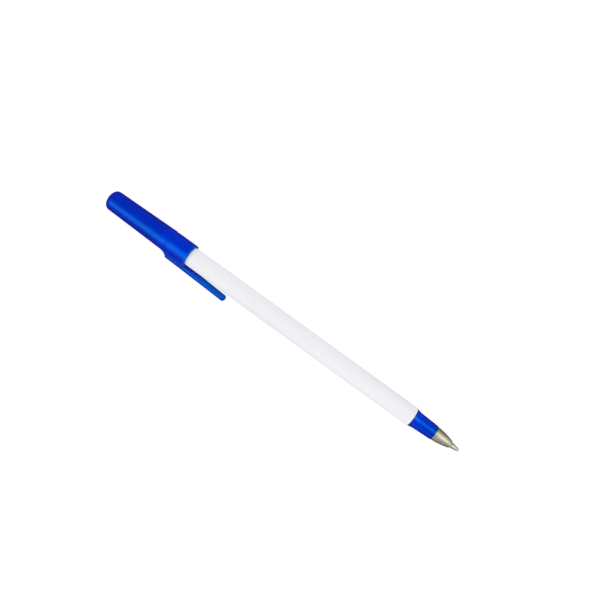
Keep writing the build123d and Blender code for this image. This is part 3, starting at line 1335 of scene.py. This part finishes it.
@dataclass
class Cap(TurnedPiece):
    """Blue cap: closed neck that ends in a ring, collar, and a clip moulded in one with it.

    The shell is spun with the clip's side upwards, its outer wall is raised into the clip's root,
    the root's front is drawn out into the arm, and the whole is then rolled to where the clip lies.
    """

    name: str = "cap_moulding"
    node: str = "cap"
    body: Body = Body.CAP
    clip_node: str = "cap_clip"
    end_radius: float = 4.3 * MM
    end_round: float = 2.1 * MM
    end_steps: int = 12
    end_wall: float = 1.4 * MM
    air_hole: float = 1.5 * MM
    neck_shares: tuple[float, ...] = (0.0, 0.3, 0.55, 0.8)
    ring_radius: float = 4.94 * MM
    ring_setback: float = 10.6 * MM
    ring_edge: float = 0.06 * MM
    ring_steps: int = 3
    relief_radius: float = 4.765 * MM
    relief_length: float = 1.6 * MM
    relief_foot: float = 0.14 * MM
    relief_shares: tuple[float, ...] = (0.35, 0.65, 1.0)
    collar_radius: float = 4.865 * MM
    collar_shares: tuple[float, ...] = (0.06, 0.3, 0.6, 0.9, 1.0)
    mouth_edge: float = 0.15 * MM
    bore_radius: float = 4.185 * MM
    stop_depth: float = 13.25 * MM
    cavity_mouth: float = 3.65 * MM
    cavity_end: float = 3.35 * MM
    cavity_round: float = 0.6 * MM
    rib_count: int = 6
    rib_columns: int = 1
    rib_height: float = 0.15 * MM
    rib_lead: float = 1.2 * MM
    root_length: float = 12.4 * MM
    root_columns: int = 16
    root_painted_light: float = 0.5
    ramp_length: float = 3.4 * MM
    ramp_power: float = 1.7
    blend_drop: float = 0.3 * MM
    bend_length: float = 6.0 * MM

    def __post_init__(self) -> None:
        """Reads where the cap and its clip lie, and works out the places that follow."""
        low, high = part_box(self.node)
        self.end, self.mouth = low.x, high.x
        self.arm = ClipArm(self.mouth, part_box(self.clip_node)[1].x)
        self.ring = self.mouth - self.ring_setback
        self.stop = self.mouth - self.stop_depth
        self.ramp_rear = self.mouth - self.root_length
        self.root_front = self.mouth - self.mouth_edge - HOLD
        self.wall_middle = (self.bore_radius + self.collar_radius) / 2
        self.blend_steps = self.root_columns - self.arm.columns
        axis = next(joint["axis"] for joint in frame["joints"] if joint["name"] == "clip_flex")
        self.roll = math.atan2(-axis[2], axis[1])

    def outline(self) -> list[Corner]:
        """Draws the outside from the closed end to the mouth, then the bore and the cavity.

        Returns:
            The corners of the outline, in order.
        """
        inside = self.end + self.end_wall
        taper = (self.ring_radius - self.end_radius) / (self.ring - self.end)
        neck = [between(self.ramp_rear, self.ring, share) for share in self.neck_shares]
        relief_end = self.ring + self.relief_length
        relief = [Corner(between(self.ring, relief_end, share),
                         between(self.relief_radius, self.collar_radius, share))
                  for share in self.relief_shares]
        collar = [between(relief_end, self.root_front, share) for share in self.collar_shares]
        rib_front = self.mouth - self.rib_lead
        return [
            Corner(self.end, self.air_hole, self.mouth_edge),
            Corner(self.end, self.end_radius, self.end_round, self.end_steps),
            *[Corner(x, self.end_radius + taper * (x - self.end)) for x in neck],
            Corner(self.ring, self.ring_radius, self.ring_edge, self.ring_steps),
            Corner(self.ring + self.relief_foot, self.relief_radius, self.ring_edge, self.ring_steps),
            *relief,
            *[Corner(x, self.collar_radius) for x in collar],
            Corner(self.mouth, self.collar_radius, self.mouth_edge),
            Corner(self.mouth, self.bore_radius, self.mouth_edge),
            Corner(rib_front, self.bore_radius),
            Corner(rib_front - self.rib_height, self.bore_radius),
            Corner(self.stop + self.rib_height, self.bore_radius),
            Corner(self.stop, self.bore_radius),
            Corner(self.stop, self.cavity_mouth, self.mouth_edge),
            Corner(inside, self.cavity_end, self.cavity_round),
            Corner(inside, self.air_hole, self.mouth_edge),
        ]

    def build(self) -> None:
        """Builds the cap with its clip and lets the clip bend at its root."""
        shape = self.spun()
        self.raise_ribs(shape)
        front = self.front_strip(shape)
        self.raise_root(shape)
        self.arm.draw(shape, front)
        bmesh.ops.recalc_face_normals(shape, faces=shape.faces)
        bmesh.ops.rotate(shape, verts=shape.verts, cent=(0, 0, 0),
                         matrix=Matrix.Rotation(math.pi - self.roll, 3, "X"))
        piece = self.dressed(shape)
        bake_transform(piece, self.body.value, Body.CLIP.value, start=(self.mouth, 0, 0),
                 end=(self.mouth + self.bend_length, 0, 0))
        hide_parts(self.node, self.clip_node)

    @staticmethod
    def column(point: bmesh.types.BMVert) -> int:
        """Gives the number of the facet edge that a point lies on, counted from the clip's middle."""
        return round(math.atan2(point.co.y, point.co.z) / math.tau * FACETS)

    @staticmethod
    def radius(point: bmesh.types.BMVert) -> float:
        """Gives a point's distance from the axis."""
        return math.hypot(point.co.y, point.co.z)

    def raise_ribs(self, shape: bmesh.types.BMesh) -> None:
        """Raises the grip ribs from the bore.

        Args:
            shape: The spun shell.
        """
        every = FACETS // self.rib_count
        low = self.stop + self.rib_height / 2
        high = self.mouth - self.rib_lead - self.rib_height / 2
        for point in shape.verts:
            radius = self.radius(point)
            past_rib = (self.column(point) + every // 2) % every
            on_bore = abs(radius - self.bore_radius) < HOLD and low < point.co.x < high
            if on_bore and min(past_rib, every - past_rib) <= self.rib_columns:
                share = 1 - self.rib_height / radius
                point.co.y *= share
                point.co.z *= share

    def front_strip(self, shape: bmesh.types.BMesh) -> list[bmesh.types.BMFace]:
        """Finds the strip of wall behind the mouth that the arm is drawn from, and numbers its points.

        Args:
            shape: The spun shell, before its root is raised.

        Returns:
            The strip's faces.
        """
        row = shape.verts.layers.int.new(ROW)
        number = shape.verts.layers.int.new(NUMBER)
        rear, front = self.root_front, self.mouth - self.mouth_edge
        strip: list[bmesh.types.BMFace] = []
        for face in shape.faces:
            places = [point.co.x for point in face.verts]
            outside = min(map(self.radius, face.verts)) > self.wall_middle
            ahead = abs(min(places) - rear) < NEAR and abs(max(places) - front) < NEAR
            farthest = max(abs(self.column(point)) for point in face.verts)
            if outside and ahead and farthest <= self.arm.columns:
                strip.append(face)
        for point in {point for face in strip for point in face.verts}:
            point[row] = (Row.OUTER if point.co.x < rear + NEAR else Row.INNER).value
            point[number] = self.column(point) + self.arm.columns
        return strip

    def raise_root(self, shape: bmesh.types.BMesh) -> None:
        """Raises the clip's root from the outer wall, with a ramp behind it.

        Args:
            shape: The spun shell.
        """
        thin = shape.verts.layers.float.new(PAINTED_LIGHT)
        rise = (self.arm.tip_outer - self.arm.outer) / (self.arm.tip - self.mouth)
        for point in shape.verts:
            x = point.co.x
            column = self.column(point)
            radius = self.radius(point)
            on_root = self.ramp_rear < x < self.root_front + NEAR and abs(column) < self.root_columns
            if not on_root or radius < self.wall_middle:
                continue
            up = min((x - self.ramp_rear) / self.ramp_length, 1.0) ** self.ramp_power
            step = self.root_columns - abs(column)
            across, height = self.root_row(step, radius, self.arm.outer + rise * (x - self.mouth))
            # painted light on the root's blended sides, growing up the ramp
            point[thin] = self.root_painted_light * up if step <= self.blend_steps else 0.0
            point.co = point.co.lerp(Vector((x, -across if column < 0 else across, height)), up)

    def root_row(self, step: int, radius: float, outer: float) -> Pair:
        """Places a point on the root's blended side, corner or top.

        Args:
            step: Number of the point from the foot inwards.
            radius: Radius of the wall that the root stands on.
            outer: Height of the root's top.

        Returns:
            The distance from the clip's middle and the height.
        """
        half = self.arm.width / 2
        top = outer - self.arm.crown - self.blend_drop
        if step > self.blend_steps:
            return self.arm.outer_row(step - self.blend_steps, half, top, outer, self.arm.crown)
        angle = math.tau * self.root_columns / FACETS
        foot = (radius * math.sin(angle), radius * math.cos(angle))
        turn = (half, foot[1] + (foot[0] - half) * math.tan(angle))
        return curve_point(step / self.blend_steps, foot, turn, (half, top))


@dataclass
class Refill:
    """Ink tube and ink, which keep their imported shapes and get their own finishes."""

    finishes: dict[str, bpy.types.Material]

    def dress(self) -> None:
        """Gives each node its finish."""
        for node, finish in self.finishes.items():
            for slot in frame["nodes"][node].material_slots:
                slot.material = finish
            log.info("%s: %s", node, finish.name)


@dataclass(frozen=True)
class Softbox:
    """A flat light over the pen that shows in the gloss alone.

    Attributes:
        name: Its name.
        centre: Where its middle hangs.
        length: Its longer side.
        width: Its shorter side.
        turn: How far the longer side is turned from the pen, in degrees.
        power: Its power in watts.
    """

    name: str
    centre: Triple
    length: float
    width: float
    turn: float
    power: float

    def hang(self) -> None:
        """Hangs the light, facing down."""
        light = bpy.data.lights.new(self.name, "AREA")
        light.shape = "RECTANGLE"
        light.size = self.length
        light.size_y = self.width
        light.energy = self.power
        box = add_object(self.name, light)
        box.location = self.centre
        box.rotation_euler = (0.0, 0.0, math.radians(self.turn))
        box.visible_camera = False
        box.visible_diffuse = False


@dataclass
class Studio:
    """White sheet, soft overhead light and the camera that looks almost straight down.

    The sky's limits are parts of a direction, from -1 to 1. The camera's angles are in degrees.
    """

    floor_finish: bpy.types.Material
    floor_size: float = 6.0
    azimuth: float = 35.963
    elevation: float = 83.971
    camera_place: Triple = (-5.51 * MM, -9.64 * MM, 247.17 * MM)
    focal_pixels: float = 620.0
    picture_pixels: float = 600.0
    sensor: float = 36.0
    softboxes: tuple[Softbox, ...] = (
        Softbox("cap softbox", centre=(-250 * MM, -285 * MM, 320 * MM), length=500 * MM, width=200 * MM,
                turn=40.0, power=1.0),
        Softbox("low softbox", centre=(-250 * MM, -600 * MM, 320 * MM), length=500 * MM, width=430 * MM,
                turn=40.0, power=1.85),
        Softbox("nose softbox", centre=(320 * MM, 74 * MM, 320 * MM), length=370 * MM, width=230 * MM,
                turn=10.0, power=1.28),
    )
    near_sky: Colour = (0.97, 0.97, 0.98, 1.0)
    far_sky: Colour = (0.86, 0.86, 0.87, 1.0)
    side_limits: Pair = (-0.8, 0.8)
    zenith: Colour = (0.06, 0.06, 0.06, 1.0)
    zenith_limits: Pair = (0.1, 0.75)
    tail_horizon: Colour = (0.012, 0.034, 0.04, 1.0)
    nose_horizon: Colour = (0.66, 0.66, 0.6, 1.0)
    nose_rise: Pair = (0.05, 0.25)
    nose_fall: Pair = (0.6, 0.8)
    backdrop: Colour = (1.0, 1.0, 1.0, 1.0)

    def build(self) -> None:
        """Sets up the floor, the sky, the light and the camera."""
        self.lay_floor()
        self.paint_sky()
        for softbox in self.softboxes:
            softbox.hang()
        self.set_camera()

    def lay_floor(self) -> None:
        """Lays the sheet under the lowest point of the pen."""
        shape = bmesh.new()
        bmesh.ops.create_grid(shape, x_segments=1, y_segments=1, size=self.floor_size / 2)
        bmesh.ops.translate(shape, verts=shape.verts, vec=(0, 0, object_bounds()[0].z))
        floor = add_mesh("studio_sheet", shape, self.floor_finish)
        floor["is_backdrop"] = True

    def paint_sky(self) -> None:
        """Paints an even sky for soft shading, a darker one for the gloss and plain white behind the pen."""
        world = bpy.data.worlds.new("studio")
        bpy.context.scene.world = world
        world.use_nodes = True
        graph = Graph(world.node_tree)
        background = next(node for node in world.node_tree.nodes if node.type == "BACKGROUND")
        direction = graph.node("ShaderNodeTexCoord").outputs["Generated"]
        along, aside, up = (graph.coordinate(direction, axis) for axis in Axis)
        rays = graph.node("ShaderNodeLightPath").outputs
        to_nose = graph.math("MULTIPLY", graph.ramp(along, *self.nose_rise),
                             graph.ramp(along, *self.nose_fall, 1.0, 0.0))
        horizon = graph.mix(to_nose, self.tail_horizon, self.nose_horizon)
        gloss = graph.mix(graph.ramp(up, *self.zenith_limits), horizon, self.zenith)
        soft = graph.mix(graph.ramp(aside, *self.side_limits), self.near_sky, self.far_sky)
        sky = graph.mix(rays["Is Diffuse Ray"], gloss, soft)
        graph.feed(background.inputs["Color"], graph.mix(rays["Is Camera Ray"], sky, self.backdrop))

    def set_camera(self) -> None:
        """Sets the camera where the photograph was taken from."""
        lens = bpy.data.cameras.new("camera")
        lens.sensor_width = self.sensor
        lens.lens = self.focal_pixels / self.picture_pixels * self.sensor
        lens.clip_start = MM
        camera = add_object("camera", lens)
        turn, tilt = math.radians(self.azimuth), math.radians(self.elevation)
        back = Vector((math.sin(turn) * math.cos(tilt), -math.cos(turn) * math.cos(tilt), math.sin(tilt)))
        camera.location = self.camera_place
        camera.rotation_euler = (-back).to_track_quat("-Z", "Y").to_euler()
        bpy.context.scene.camera = camera
        bpy.context.scene.view_settings.view_transform = "Standard"


def main() -> None:
    """Builds the pen piece by piece, then the studio round it."""
    logging.basicConfig(level=logging.INFO, format="%(message)s")
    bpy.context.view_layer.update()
    effects = Effects()
    blue = BluePlastic().material(effects)
    Barrel(WhitePlastic().material(effects)).build()
    EndPlug(blue).build()
    NosePlug(blue).build()
    MetalCone(ConeBrass().material(effects)).build()
    Nib(NibMetal().material(effects)).build()
    WritingBall(BallMetal().material(effects)).build()
    Cap(blue).build()
    Refill({"ink_tube": ClearPlastic().material(effects), "ink": PasteInk().material(effects)}).dress()
    Studio(PaleFloor().material(effects)).build()


if __name__ == "__main__":
    main()
